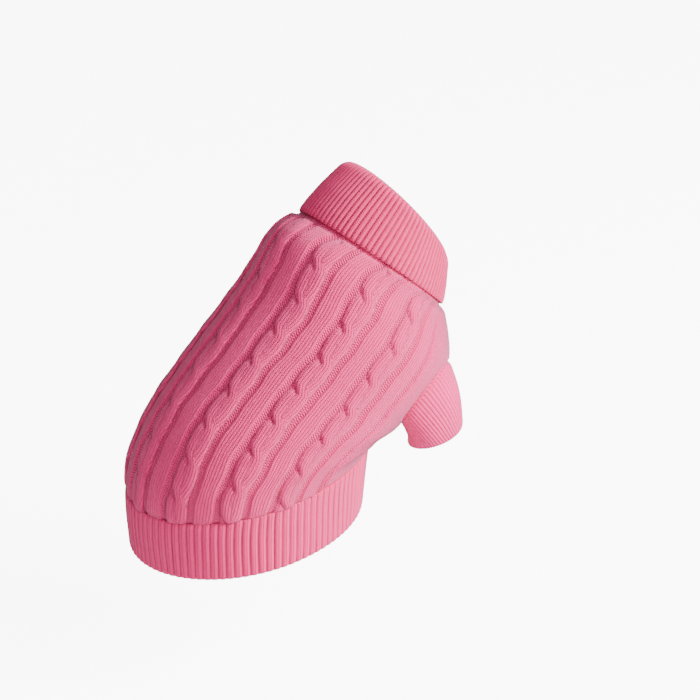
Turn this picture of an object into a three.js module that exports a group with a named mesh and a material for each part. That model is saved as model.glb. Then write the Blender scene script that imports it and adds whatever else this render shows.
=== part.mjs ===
// A knitted turtleneck sweater for a small dog, in the hollow form it has when it is worn sitting.
// Millimetres. +X is forward, towards the neck, +Y is the wearer's left and +Z is up.
// The origin is the centre of the neck hole, in the plane of the turned-down collar's lower edge.
import * as THREE from 'three';

// Driving dimensions
const seamGap = 0.4;           // clear space between two pieces at a seam
const hemShare = 0.145;        // share of the torso's length that the hem band takes up
const neckSeamShare = 1.08;    // the torso runs on past 1, up under the turned-down collar
const rowStep = 4.4;           // length of a row of the cabled back, along the spine

// The torso's sections, from the hem's lower edge (share 0) to the collar's lower edge (share 1).
// x and z place the centre, tilt is the rise of the section's axis in degrees, and back, belly
// and half are the distances from the centre to the spine, the belly line and the side.
const torsoSections = [
  { share: 0, x: -82.5, z: -140, tilt: 98, back: 62.5, belly: 70.5, half: 59.5 },
  { share: hemShare, x: -83.5, z: -106, tilt: 99, back: 63, belly: 77, half: 59 },
  { share: 0.35, x: -67.5, z: -82.5, tilt: 84, back: 64.5, belly: 67, half: 61 },
  { share: 0.55, x: -45, z: -66, tilt: 69, back: 66, belly: 59, half: 61.5 },
  { share: 0.75, x: -14, z: -33, tilt: 62, back: 64.5, belly: 61, half: 59 },
  { share: 0.9, x: -4.5, z: -6.5, tilt: 57, back: 57, belly: 53, half: 48 },
  { share: 1, x: 0, z: 0, tilt: 51, back: 48.5, belly: 47.5, half: 45 },
];

// The collar's two rings, its lower edge and its fold, both measured to its outside.
const collarRings = {
  edge: { x: 0, z: 0, tilt: 51, back: 49.6, belly: 48.6, half: 46.2 },
  fold: { x: 15.5, z: 24, tilt: 38, back: 39.5, belly: 39.5, half: 39.5 },
};
const collarLayer = 2.4;       // thickness of one layer of the folded collar
const collarSlit = 0.6;        // space between its two layers
const collarSeamHeight = 0.3;  // height of the neck seam, as a share of the collar
const collarRibs = 92;
const collarRibDepth = 0.9;

const hemRibs = 91;
const hemRibDepth = 1;
const hemWall = 2;
const hemGap = 0.6;            // clear space under the hem seam
const blouse = 1.4;            // how far the torso hangs out over the hem band

// The cables: two strands that cross the same way again and again, seven columns of them.
const cable = { count: 7, pitch: 30.6, width: 16, crossing: 20.3, firstCrossing: 22, lift: 1 };
const strand = { sway: 3.7, halfWidth: 4.4, dome: 2.3, squareness: 0.35 };
// Levels above (+) or below (-) the torso's sections.
const level = { groove: -1.8, ground: -1.5, rib: -0.4, band: -0.5, inside: -3.6, bellyInside: -2.8 };
const grooveWidth = 2.6;

// The side seam, as a distance from the spine round the section.
const sideSeam = [
  { share: hemShare, around: 118 },
  { share: 0.3, around: 121 },
  { share: 0.42, around: 133 },
  { share: 0.544, around: 155.5 },
  { share: 0.766, around: 149.5 },
  { share: 0.85, around: 143 },
  { share: 0.92, around: 132 },
  { share: 1, around: 122 },
  { share: neckSeamShare, around: 118 },
];

// The armhole is an ellipse on the torso's side, its long axis turned towards the belly at the back.
const armhole = { share: 0.655, around: 152.5, long: 24, short: 19, turn: 21, mmPerShare: 210 };

const sleeve = { ribs: 44, ribDepth: 0.7, wall: 2, cuffRadius: 16.2, bulge: 0.6, puff: 2.2, tuck: 0.4 };
const cuff = { x: 18, side: 40, z: -93, axis: { x: 0.32, side: 0.1, z: -0.94 } };

// The largest soft folds: troughs pressed into the cloth. share and around place the middle (around
// is negative on the left), along and across are half lengths, and depth is how far it sinks.
const folds = [
  { share: 0.46, around: 136, along: 20, across: 5, depth: 1.3 },
  { share: 0.4, around: 150, along: 26, across: 7, depth: 1.2 },
  { share: 0.45, around: -139, along: 24, across: 6, depth: 1.4 },
  { share: 0.36, around: -152, along: 18, across: 6, depth: 1 },
  { share: 0.87, around: 118, along: 14, across: 6, depth: 0.9 },
  { share: 0.86, around: -121, along: 12, across: 5, depth: 0.8 },
];

const tau = 2 * Math.PI;
const radians = THREE.MathUtils.degToRad;

// Shape of the torso

// A ring of the collar at a height from 0 at its lower edge to 1 at its fold.
function collarRing(height) {
  const ring = {};
  for (const key of Object.keys(collarRings.edge)) {
    ring[key] = THREE.MathUtils.lerp(collarRings.edge[key], collarRings.fold[key], height);
  }
  return ring;
}

// The torso's last section lies at the neck seam, just inside the turned-down layer.
function neckSeamSection() {
  const ring = collarRing(collarSeamHeight);
  const inset = collarLayer + collarSlit + level.groove;
  return {
    ...ring,
    share: neckSeamShare,
    back: ring.back - inset,
    belly: ring.belly - inset,
    half: ring.half - inset,
  };
}

const sections = [...torsoSections, neckSeamSection()];

// Smooth curve through a table's rows: a cubic in each stretch, with slopes from both neighbours.
function readTable(rows, column, share) {
  const last = rows.length - 1;
  const slopeBetween = (i) => (rows[i + 1][column] - rows[i][column]) / (rows[i + 1].share - rows[i].share);
  const slopeAt = (i) => {
    if (i === 0) return slopeBetween(0);
    if (i === last) return slopeBetween(last - 1);
    const before = rows[i].share - rows[i - 1].share;
    const after = rows[i + 1].share - rows[i].share;
    return (slopeBetween(i - 1) * after + slopeBetween(i) * before) / (before + after);
  };
  let i = 0;
  while (i < last - 1 && share > rows[i + 1].share) i += 1;
  const span = rows[i + 1].share - rows[i].share;
  const t = (share - rows[i].share) / span;
  return rows[i][column] * (1 + 2 * t) * (1 - t) ** 2
    + span * slopeAt(i) * t * (1 - t) ** 2
    + rows[i + 1][column] * t * t * (3 - 2 * t)
    + span * slopeAt(i + 1) * t * t * (t - 1);
}

const sectionCache = new Map();

function sectionAt(share) {
  if (!sectionCache.has(share)) {
    const section = {};
    for (const column of ['x', 'z', 'tilt', 'back', 'belly', 'half']) {
      section[column] = readTable(sections, column, share);
    }
    sectionCache.set(share, section);
  }
  return sectionCache.get(share);
}

// A point of an oval ring. The angle is 0 on the spine, a half turn on the belly line, and
// positive on the right side.
function ringPoint(ring, angle, out = 0) {
  const reach = (Math.cos(angle) > 0 ? ring.back : ring.belly) + out;
  const up = reach * Math.cos(angle);
  const tilt = radians(ring.tilt);
  return new THREE.Vector3(
    ring.x - Math.sin(tilt) * up,
    -(ring.half + out) * Math.sin(angle),
    ring.z + Math.cos(tilt) * up,
  );
}

// Distances from the spine round half a section, one for each degree of angle.
const halfTurnSteps = 180;
const aroundCache = new Map();

function aroundTable(share) {
  if (!aroundCache.has(share)) {
    const section = sectionAt(share);
    const table = [0];
    let before = ringPoint(section, 0);
    for (let i = 1; i <= halfTurnSteps; i += 1) {
      const point = ringPoint(section, (Math.PI * i) / halfTurnSteps);
      table.push(table[i - 1] + point.distanceTo(before));
      before = point;
    }
    aroundCache.set(share, table);
  }
  return aroundCache.get(share);
}

const halfGirth = (share) => aroundTable(share)[halfTurnSteps];

function angleAt(share, around) {
  const table = aroundTable(share);
  const distance = Math.min(Math.abs(around), table[halfTurnSteps]);
  let i = 0;
  while (i < halfTurnSteps - 1 && table[i + 1] < distance) i += 1;
  const part = (distance - table[i]) / (table[i + 1] - table[i]);
  return Math.sign(around) * ((i + part) * Math.PI) / halfTurnSteps;
}

// The outward direction of the torso's surface, square to two short steps on it.
function torsoNormal(share, angle) {
  const stepShare = 0.004;
  const stepAngle = 0.01;
  const alongShare = ringPoint(sectionAt(share + stepShare), angle)
    .sub(ringPoint(sectionAt(share - stepShare), angle));
  const alongAngle = ringPoint(sectionAt(share), angle + stepAngle)
    .sub(ringPoint(sectionAt(share), angle - stepAngle));
  return alongAngle.cross(alongShare).normalize();
}

function foldDepth(share, around) {
  let depth = 0;
  for (const fold of folds) {
    const along = ((share - fold.share) * armhole.mmPerShare) / fold.along;
    const across = (around - fold.around) / fold.across;
    depth += fold.depth * Math.exp(-along * along - across * across);
  }
  return depth;
}

// The torso hangs out a little over the hem band and is drawn in at the seam itself.
function blouseOut(share) {
  const above = (share - hemShare) / 0.12;
  return blouse * above * Math.exp(1 - above);
}

function torsoPoint(share, around, out) {
  const angle = angleAt(share, around);
  const shift = share > hemShare ? blouseOut(share) - foldDepth(share, around) : 0;
  return ringPoint(sectionAt(share), angle)
    .addScaledVector(torsoNormal(share, angle), out + shift);
}

// Relief of the cabled back

// Height of the cable over the ground at a distance across it and down from the collar. Each strand
// sways from side to side and comes up and down by turns, like one of two cords wound together.
function cableHeight(across, down) {
  let height = 0;
  for (const half of [0, 1]) {
    const turn = (Math.PI * (down - cable.firstCrossing)) / cable.crossing + Math.PI * (half + 0.5);
    const swing = Math.cos(turn);
    const shape = 1 + strand.squareness * (1 - swing * swing);
    const middle = -strand.sway * swing * shape;
    const slant = (strand.sway * Math.sin(turn) * (1 + strand.squareness) * Math.PI) / cable.crossing;
    const distance = (across - middle) / (strand.halfWidth * Math.sqrt(1 + slant * slant));
    if (Math.abs(distance) < 1) {
      const dome = strand.dome * Math.sqrt(1 - distance * distance);
      height = Math.max(height, dome + cable.lift * Math.sin(turn) + cable.lift / 2);
    }
  }
  return height;
}

// How far the relief is pressed flat near and under the turned-down collar, from 0 to 1.
const underCollar = (share) => THREE.MathUtils.smoothstep(share, 0.94, 0.978);

// Level of the back's outside: cables, and flat ribs between grooves, sinking under the collar.
function backLevel(share, around, down) {
  const reach = cable.pitch * ((cable.count - 1) / 2);
  const nearest = THREE.MathUtils.clamp(Math.round(around / cable.pitch) * cable.pitch, -reach, reach);
  const across = around - nearest;
  const fromCable = Math.abs(across) - cable.width / 2;
  const plainEdge = cable.pitch - cable.width;
  let height;
  if (fromCable < 0) {
    height = level.ground + cableHeight(across, down);
  } else if (fromCable > plainEdge) {
    height = level.band;
  } else {
    const toGroove = Math.min(fromCable, plainEdge - fromCable) / grooveWidth;
    height = THREE.MathUtils.lerp(level.groove, level.rib, THREE.MathUtils.smoothstep(toGroove, 0.5, 1));
  }
  return THREE.MathUtils.lerp(height, level.groove, underCollar(share));
}

// Meshes

// A mesh under construction: rows of points, and the skins between them.
function newSkin() {
  return { points: [], faces: [] };
}

function addPoint(skin, point) {
  skin.points.push(point);
  return skin.points.length - 1;
}

// Joins two rows with different numbers of points. Each row lists its point numbers and a place
// from 0 to 1 for each, and both start and end at the same places.
function joinRows(skin, rowA, rowB) {
  let a = 0;
  let b = 0;
  while (a < rowA.ids.length - 1 || b < rowB.ids.length - 1) {
    const nextA = a < rowA.ids.length - 1 ? rowA.places[a + 1] : Infinity;
    const nextB = b < rowB.ids.length - 1 ? rowB.places[b + 1] : Infinity;
    if (nextA <= nextB) {
      skin.faces.push([rowA.ids[a], rowB.ids[b], rowA.ids[a + 1]]);
      a += 1;
    } else {
      skin.faces.push([rowA.ids[a], rowB.ids[b], rowB.ids[b + 1]]);
      b += 1;
    }
  }
}

// A row that closes on itself, with evenly spaced places.
function closedRow(skin, points) {
  const ids = points.map((point) => addPoint(skin, point));
  const places = ids.map((_, i) => i / ids.length);
  return { ids: [...ids, ids[0]], places: [...places, 1] };
}

// A wall shaped like a ring: closed rows laid side by side, the last joined to the first.
function ringWall(rowsOfPoints) {
  const skin = newSkin();
  const rows = rowsOfPoints.map((points) => closedRow(skin, points));
  rows.forEach((row, i) => joinRows(skin, row, rows[(i + 1) % rows.length]));
  return skin;
}

// Two triangles for each cell of a grid of point numbers, split one way or the other.
function addGrid(skin, grid, slant = false) {
  for (let i = 0; i < grid.length - 1; i += 1) {
    for (let j = 0; j < grid[i].length - 1; j += 1) {
      const [a, b, c, d] = [grid[i][j], grid[i][j + 1], grid[i + 1][j + 1], grid[i + 1][j]];
      if (slant) skin.faces.push([a, b, c], [a, c, d]);
      else skin.faces.push([a, b, d], [b, c, d]);
    }
  }
}

// Shares of a length, from 0 to 1, at each point of a line of points.
function lengthPlaces(points) {
  const lengths = [0];
  for (let i = 1; i < points.length; i += 1) {
    lengths.push(lengths[i - 1] + points[i].distanceTo(points[i - 1]));
  }
  return lengths.map((length) => length / lengths[points.length - 1]);
}

// The edge of a grid as one closed row. Its places run from 0 to 1 in four equal sides. Along the
// first and last rows they follow the length, and up the sides they follow the rows' own places.
function gridEdge(skin, grid, rowPlaces) {
  const last = grid.length - 1;
  const across = (row) => lengthPlaces(row.map((id) => skin.points[id]));
  const backwards = (places) => places.map((place) => 1 - place).reverse();
  const lastRow = [...grid[last]].reverse();
  const sides = [
    { ids: grid[0], places: across(grid[0]) },
    { ids: grid.map((row) => row[row.length - 1]), places: rowPlaces },
    { ids: lastRow, places: across(lastRow) },
    { ids: grid.map((row) => row[0]).reverse(), places: backwards(rowPlaces) },
  ];
  const edge = { ids: [grid[0][0]], places: [0] };
  sides.forEach((side, number) => {
    edge.ids.push(...side.ids.slice(1));
    edge.places.push(...side.places.slice(1).map((place) => (number + place) / sides.length));
  });
  return edge;
}

// A panel: an outer grid over an inner grid, joined round their edges. Each side has its list of
// rows' places, and a list of rows of points.
function panelWall(outside, inside, slant) {
  const skin = newSkin();
  const number = (rows) => rows.map((row) => row.map((point) => addPoint(skin, point)));
  const outer = number(outside.rows);
  const inner = number(inside.rows);
  addGrid(skin, outer, slant);
  addGrid(skin, inner.map((row) => [...row].reverse()));
  joinRows(skin, gridEdge(skin, outer, outside.places), gridEdge(skin, inner, inside.places));
  return skin;
}

function skinVolume(skin) {
  return skin.faces.reduce((sum, [a, b, c]) => {
    const cross = new THREE.Vector3().crossVectors(skin.points[b], skin.points[c]);
    return sum + skin.points[a].dot(cross) / 6;
  }, 0);
}

function skinMesh(name, skin, material) {
  const inwards = skinVolume(skin) < 0;
  const geometry = new THREE.BufferGeometry();
  const positions = skin.points.flatMap((point) => point.toArray());
  geometry.setAttribute('position', new THREE.Float32BufferAttribute(positions, 3));
  geometry.setIndex(skin.faces.flatMap(([a, b, c]) => (inwards ? [a, c, b] : [a, b, c])));
  geometry.computeVertexNormals();
  const mesh = new THREE.Mesh(geometry, material);
  mesh.name = name;
  return mesh;
}

// Places on the torso that both panels and the sleeves share

// The armhole's edge at an angle: a share of the torso's length, and a distance from the spine.
function armholeEdge(angle, inset = 0) {
  const turn = radians(armhole.turn);
  const long = (armhole.long - inset) * Math.cos(angle);
  const short = (armhole.short - inset) * Math.sin(angle);
  return {
    share: armhole.share + (long * Math.cos(turn) + short * Math.sin(turn)) / armhole.mmPerShare,
    around: armhole.around - long * Math.sin(turn) + short * Math.cos(turn),
  };
}

// The angles at which the armhole's edge lies furthest towards the neck and the hem.
const neckwardAngle = Math.atan2(armhole.short * Math.sin(radians(armhole.turn)),
  armhole.long * Math.cos(radians(armhole.turn)));
const armholeTop = armholeEdge(neckwardAngle).share;
const armholeBottom = armholeEdge(neckwardAngle + Math.PI).share;

// Where the armhole's edge crosses a share of the torso's length, on the back or the belly side.
function armholeCrossing(share, onBelly) {
  const reach = (armholeTop - armholeBottom) / 2;
  const middle = (armholeTop + armholeBottom) / 2;
  const swing = Math.acos(THREE.MathUtils.clamp((share - middle) / reach, -1, 1));
  return armholeEdge(neckwardAngle + (onBelly ? swing : -swing)).around;
}

// How far a panel's edge moves round the section to lie half a clear gap from the slanting seam.
function seamHalfGap(share, seam) {
  const next = share + 0.01;
  const nextSeam = readTable(sideSeam, 'around', next);
  const here = ringPoint(sectionAt(share), angleAt(share, seam));
  const alongSeam = ringPoint(sectionAt(next), angleAt(next, nextSeam)).sub(here).normalize();
  const round = ringPoint(sectionAt(share), angleAt(share, seam + 1)).sub(here).normalize();
  return seamGap / (2 * round.cross(alongSeam).length());
}

function panelEdge(share, onBelly) {
  const inArmhole = share > armholeBottom && share < armholeTop;
  if (inArmhole) return armholeCrossing(share, onBelly);
  const seam = readTable(sideSeam, 'around', share);
  const halfGap = seamHalfGap(share, seam);
  return seam + (onBelly ? halfGap : -halfGap);
}

// Shares of the rows of both panels. Close to the armhole's two ends the rows lie closer.
function rowShares() {
  const spineLength = spineLengthAt(hemShare);
  const count = Math.round(spineLength / rowStep);
  const shares = [];
  for (let i = 0; i <= count; i += 1) shares.push(shareAtLength((spineLength * i) / count));
  shares.reverse();
  const clear = 0.008;
  const extra = [armholeBottom, armholeBottom + 0.006, armholeTop - 0.006, armholeTop];
  const kept = shares.filter((share) => extra.every((other) => Math.abs(share - other) > clear));
  const aboveNeck = [1.025, 1.05, neckSeamShare];
  return [...kept, ...extra, ...aboveNeck].sort((p, q) => p - q);
}

// Length down the torso from the collar's edge, at a distance round it.
const lengthSteps = 60;

function lengthTable(around) {
  const table = [{ share: 1, length: 0 }];
  let before = ringPoint(sectionAt(1), angleAt(1, around));
  for (let i = 1; i <= lengthSteps; i += 1) {
    const share = 1 - ((1 - hemShare) * i) / lengthSteps;
    const point = ringPoint(sectionAt(share), angleAt(share, around));
    table.push({ share, length: table[i - 1].length + point.distanceTo(before) });
    before = point;
  }
  return table;
}

function lengthAt(table, share) {
  if (share >= 1) return 0;
  const place = ((1 - share) / (1 - hemShare)) * lengthSteps;
  const i = Math.min(Math.floor(place), lengthSteps - 1);
  return THREE.MathUtils.lerp(table[i].length, table[i + 1].length, place - i);
}

const spineTable = lengthTable(0);
const spineLengthAt = (share) => lengthAt(spineTable, share);

function shareAtLength(length) {
  const i = Math.max(1, spineTable.findIndex((row) => row.length >= length - 1e-9));
  const [above, below] = [spineTable[i - 1], spineTable[i]];
  const part = (length - above.length) / (below.length - above.length);
  return THREE.MathUtils.lerp(above.share, below.share, part);
}

const shares = rowShares();

// Away from the armhole and the neck only every other row is needed on a plain side.
const plainShares = shares.filter((share, i) => {
  const nearArmhole = share > armholeBottom - 0.22 && share < armholeTop + 0.05;
  return nearArmhole || i % 2 === 0 || share > 0.98;
});

// One side of a panel: a row of points for each share.
function panelSide(rowList, rowAt) {
  const reach = neckSeamShare - hemShare;
  return {
    places: rowList.map((share) => (share - hemShare) / reach),
    rows: rowList.map(rowAt),
  };
}

// The plain outside level of both panels at their edges, sinking under the collar.
const plainLevel = (share) => THREE.MathUtils.lerp(level.band, level.groove, underCollar(share));

// Pieces

// The columns of the back: fixed distances from the spine over the cables, grooves and ribs, then
// two that share out the plain band beyond, and the edge.
function backColumns() {
  const half = (cable.count - 1) / 2;
  const inCable = [-8, -5, -2, 2, 5, 8];
  const gap = cable.pitch - cable.width;
  const between = [grooveWidth / 2, grooveWidth, gap - grooveWidth, gap - grooveWidth / 2];
  const fixed = [];
  for (let k = -half; k <= half; k += 1) {
    inCable.forEach((across) => fixed.push(k * cable.pitch + across));
    if (k < half) between.forEach((across) => fixed.push(k * cable.pitch + cable.width / 2 + across));
  }
  const lastCable = half * cable.pitch + cable.width / 2;
  const beyond = [...between, gap].map((across) => lastCable + across);
  return { fixed, beyond };
}

function backPanel() {
  const { fixed, beyond } = backColumns();
  const bandStart = beyond[beyond.length - 1];
  const middle = [...beyond.map((around) => -around).reverse(), ...fixed, ...beyond];
  const tables = new Map(middle.map((around) => [around, lengthTable(around)]));
  const outside = panelSide(shares, (share) => {
    const edge = panelEdge(share, false);
    const band = [(bandStart + edge) / 2, edge];
    const relief = middle.map((around) => {
      const down = lengthAt(tables.get(around), share);
      return torsoPoint(share, around, backLevel(share, around, down));
    });
    const left = [...band].reverse().map((around) => torsoPoint(share, -around, plainLevel(share)));
    const right = band.map((around) => torsoPoint(share, around, plainLevel(share)));
    return [...left, ...relief, ...right];
  });
  const insideColumns = 18;
  const inside = panelSide(plainShares, (share) => {
    const edge = panelEdge(share, false);
    const row = [];
    for (let j = 0; j <= insideColumns; j += 1) {
      row.push(torsoPoint(share, edge * ((2 * j) / insideColumns - 1), level.inside));
    }
    return row;
  });
  return panelWall(outside, inside, true);
}

// The belly panel crosses the belly line, where the distance from the spine is half the girth.
function bellyRow(share, columns, out) {
  const edge = panelEdge(share, true);
  const girth = halfGirth(share);
  const row = [];
  for (let j = 0; j <= columns; j += 1) {
    const fromBelly = (girth - edge) * ((2 * j) / columns - 1);
    const side = fromBelly < 0 ? 1 : -1;
    row.push(torsoPoint(share, side * (girth - Math.abs(fromBelly)), out));
  }
  return row;
}

function bellyPanel() {
  const wall = level.band - level.bellyInside;
  const outside = panelSide(shares, (share) => bellyRow(share, 12, plainLevel(share)));
  const inside = panelSide(plainShares, (share) => bellyRow(share, 12, plainLevel(share) - wall));
  return panelWall(outside, inside, false);
}

// A ribbed closed row: crests and valleys by turns.
function ribbedRow(ribs, depth, pointAt) {
  const points = [];
  for (let j = 0; j < 2 * ribs; j += 1) {
    points.push(pointAt(j / (2 * ribs), j % 2 === 0 ? 0 : -depth));
  }
  return points;
}

function plainRow(count, pointAt) {
  return Array.from({ length: count }, (_, j) => pointAt(j / count));
}

// The share of the torso's length that lies one clear gap below the hem seam.
function justBelowSeam(angle) {
  const step = 0.02;
  const run = ringPoint(sectionAt(hemShare), angle).distanceTo(ringPoint(sectionAt(hemShare - step), angle));
  return hemShare - (hemGap * step) / run;
}

function hemBand() {
  const place = (share, turn, out) => {
    const girth = halfGirth(share);
    const along = 2 * girth * turn;
    const around = along <= girth ? along : along - 2 * girth;
    const top = Math.min(share, justBelowSeam(angleAt(hemShare, around)));
    return torsoPoint(top, around, out);
  };
  const curl = 0.8;
  const outer = [hemShare, 0.1, 0.05, 0.01].map((share) => ribbedRow(hemRibs, hemRibDepth,
    (turn, out) => place(share, turn, out - (share < 0.02 ? curl : 0))));
  const innerColumns = 60;
  const inside = -hemRibDepth - hemWall;
  const edge = plainRow(innerColumns, (turn) => place(0, turn, -hemRibDepth - hemWall / 2));
  const inner = [0.01, 0.07, hemShare].map((share) => plainRow(innerColumns,
    (turn) => place(share, turn, inside)));
  return ringWall([...outer, edge, ...inner]);
}

function collar() {
  const place = (height, turn, out) => ringPoint(collarRing(height), tau * turn, out);
  const columns = 46;
  const layers = 2 * collarLayer + collarSlit;
  const plain = (height, out) => plainRow(columns, (turn) => place(height, turn, out));
  const ribbed = (height, out) => ribbedRow(collarRibs, collarRibDepth,
    (turn, rib) => place(height, turn, out + rib));
  const seam = collarSeamHeight + 0.014;
  return ringWall([
    ribbed(0, -0.5),
    ribbed(0.04, 0),
    ribbed(0.5, 0.4),
    ribbed(0.92, 0),
    plain(1, -1.2),
    plain(1.02, -layers / 2),
    plain(1, 0.6 - layers),
    plain(0.9, -layers),
    plain(0.6, -layers),
    plain(seam, -layers),
    plain(seam, collarLayer - layers),
    plain(0.6, collarLayer - layers),
    plain(0.86, collarLayer - layers),
    plain(0.86, -collarLayer),
    plain(0.5, -collarLayer),
    plain(0.03, -collarLayer),
  ]);
}

// The cuff's circle at a place round it, on the right (side -1) or the left (side 1).
function cuffFrame(side) {
  const centre = new THREE.Vector3(cuff.x, side * cuff.side, cuff.z);
  const axis = new THREE.Vector3(cuff.axis.x, side * cuff.axis.side, cuff.axis.z).normalize();
  const backwards = new THREE.Vector3(-1, 0, 0).projectOnPlane(axis).normalize();
  const outwards = new THREE.Vector3().crossVectors(axis, backwards).multiplyScalar(side);
  return { centre, axis, backwards, outwards };
}

// The armhole's edge as the panels have it, a polygon with a corner in every row.
function armholePolygon() {
  const rows = shares.filter((share) => share > armholeBottom && share < armholeTop);
  const backSide = rows.map((share) => ({ share, around: armholeCrossing(share, false) }));
  const bellySide = rows.map((share) => ({ share, around: armholeCrossing(share, true) })).reverse();
  return [
    armholeEdge(neckwardAngle + Math.PI),
    ...backSide,
    armholeEdge(neckwardAngle),
    ...bellySide,
  ];
}

// Places spaced evenly along the armhole's edge, drawn in by a clear gap.
function armholePlaces(count) {
  const corners = armholePolygon();
  const inMillimetres = (place) => new THREE.Vector2(
    (place.share - armhole.share) * armhole.mmPerShare, place.around - armhole.around);
  const flat = corners.map(inMillimetres);
  const lengths = [0];
  flat.forEach((corner, i) => lengths.push(lengths[i] + corner.distanceTo(flat[(i + 1) % flat.length])));
  const whole = lengths[flat.length];
  return Array.from({ length: count }, (_, j) => {
    const wanted = (whole * j) / count;
    let i = 0;
    while (lengths[i + 1] < wanted) i += 1;
    const part = (wanted - lengths[i]) / (lengths[i + 1] - lengths[i]);
    const place = flat[i].clone().lerp(flat[(i + 1) % flat.length], part);
    place.setLength(place.length() - seamGap - sleeve.tuck);
    return {
      share: armhole.share + place.x / armhole.mmPerShare,
      around: armhole.around + place.y,
    };
  });
}

function sleeveTube(side) {
  const frame = cuffFrame(side);
  const place = (count, along, out) => armholePlaces(count).map((edge, j) => {
    const turn = tau * (j / count);
    const radius = sleeve.cuffRadius;
    const spread = frame.backwards.clone().multiplyScalar(Math.cos(turn))
      .addScaledVector(frame.outwards, Math.sin(turn));
    const bottom = frame.centre.clone().addScaledVector(spread, radius);
    const top = torsoPoint(edge.share, -side * edge.around, level.band);
    const away = torsoNormal(edge.share, angleAt(edge.share, -side * edge.around));
    const swell = Math.sin(Math.PI * along);
    const depth = typeof out === 'function' ? out(j) : out;
    return top.lerp(bottom, along)
      .addScaledVector(away, sleeve.puff * swell)
      .addScaledVector(spread, sleeve.bulge * swell + depth);
  });
  const ribs = 2 * sleeve.ribs;
  const rib = (j) => (j % 2 === 0 ? 0 : -sleeve.ribDepth);
  const columns = 26;
  const inside = -sleeve.ribDepth - sleeve.wall;
  return ringWall([
    place(ribs, 0, rib),
    place(ribs, 0.45, rib),
    place(ribs, 0.95, rib),
    place(ribs, 1, (j) => rib(j) - 0.6),
    place(columns, 1, inside + 0.4),
    place(columns, 0.93, inside),
    place(columns, 0.45, inside),
    place(columns, 0, inside),
  ]);
}

// Materials: matt cotton knit in one pink, a shade apart so that the pieces can be told from one another
const knit = (colour) => new THREE.MeshStandardMaterial({ color: colour, roughness: 0.9, metalness: 0 });

const sweater = new THREE.Group();
sweater.name = 'dog_sweater';
sweater.add(skinMesh('back_panel', backPanel(), knit(0xe88aaa)));
sweater.add(skinMesh('belly_panel', bellyPanel(), knit(0xe68cab)));
sweater.add(skinMesh('hem_band', hemBand(), knit(0xe184a4)));
sweater.add(skinMesh('sleeve_right', sleeveTube(-1), knit(0xea90af)));
sweater.add(skinMesh('sleeve_left', sleeveTube(1), knit(0xea90af)));
sweater.add(skinMesh('collar', collar(), knit(0xe486a6)));

export default sweater;
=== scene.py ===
import bpy
import numpy as np
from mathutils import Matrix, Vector


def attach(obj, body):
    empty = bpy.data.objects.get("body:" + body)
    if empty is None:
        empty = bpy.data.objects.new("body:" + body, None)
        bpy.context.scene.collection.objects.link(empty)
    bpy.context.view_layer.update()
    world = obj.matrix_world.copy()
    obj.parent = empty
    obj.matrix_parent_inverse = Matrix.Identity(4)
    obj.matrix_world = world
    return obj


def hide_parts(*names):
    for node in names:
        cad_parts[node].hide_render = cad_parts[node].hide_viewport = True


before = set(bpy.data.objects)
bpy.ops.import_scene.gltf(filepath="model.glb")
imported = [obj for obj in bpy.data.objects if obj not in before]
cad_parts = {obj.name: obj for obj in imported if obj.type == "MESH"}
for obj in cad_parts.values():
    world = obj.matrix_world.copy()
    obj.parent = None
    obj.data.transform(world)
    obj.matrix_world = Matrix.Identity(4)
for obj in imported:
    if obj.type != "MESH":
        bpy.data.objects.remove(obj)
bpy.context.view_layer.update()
print("frame loaded:", ", ".join(sorted(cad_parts)))

# the worn form, in millimetres, as in the part

torsoForm = {
    "hemShare": 0.145,
    "neckSeamShare": 1.08,
    "blouse": 1.4,  # how far the torso hangs out over the hem band
    "share": [0, 0.145, 0.35, 0.55, 0.75, 0.9, 1],
    "x": [-82.5, -83.5, -67.5, -45, -14, -4.5, 0],
    "z": [-140, -106, -82.5, -66, -33, -6.5, 0],
    "tilt": [98, 99, 84, 69, 62, 57, 51],
    "back": [62.5, 63, 64.5, 66, 64.5, 57, 48.5],
    "belly": [70.5, 77, 67, 59, 61, 53, 47.5],
    "half": [59.5, 59, 61, 61.5, 59, 48, 45],
}

collarForm = {
    "edge": {"x": 0, "z": 0, "tilt": 51, "back": 49.6, "belly": 48.6, "half": 46.2},
    "fold": {"x": 15.5, "z": 24, "tilt": 38, "back": 39.5, "belly": 39.5, "half": 39.5},
    "layer": 2.4,
    "slit": 0.6,
    "seamHeight": 0.3,
    "ribs": 92,
    "ribDepth": 1.15,
}

sideSeam = {
    "share": [0.145, 0.3, 0.42, 0.544, 0.766, 0.85, 0.92, 1, 1.08],
    "around": [118, 121, 133, 155.5, 149.5, 143, 132, 122, 118],
}

armhole = {"share": 0.655, "around": 152.5, "long": 24, "short": 19, "turn": 21, "mmPerShare": 210}

# soft troughs: share and around place the middle, along and across are half lengths, depth sinks it
folds = [
    {"share": 0.46, "around": 136, "along": 20, "across": 5, "depth": 1.3},
    {"share": 0.4, "around": 150, "along": 26, "across": 7, "depth": 1.2},
    {"share": 0.45, "around": -139, "along": 24, "across": 6, "depth": 1.4},
    {"share": 0.36, "around": -152, "along": 18, "across": 6, "depth": 1.0},
    {"share": 0.87, "around": 118, "along": 14, "across": 6, "depth": 0.9},
    {"share": 0.86, "around": -121, "along": 12, "across": 5, "depth": 0.8},
]


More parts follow.
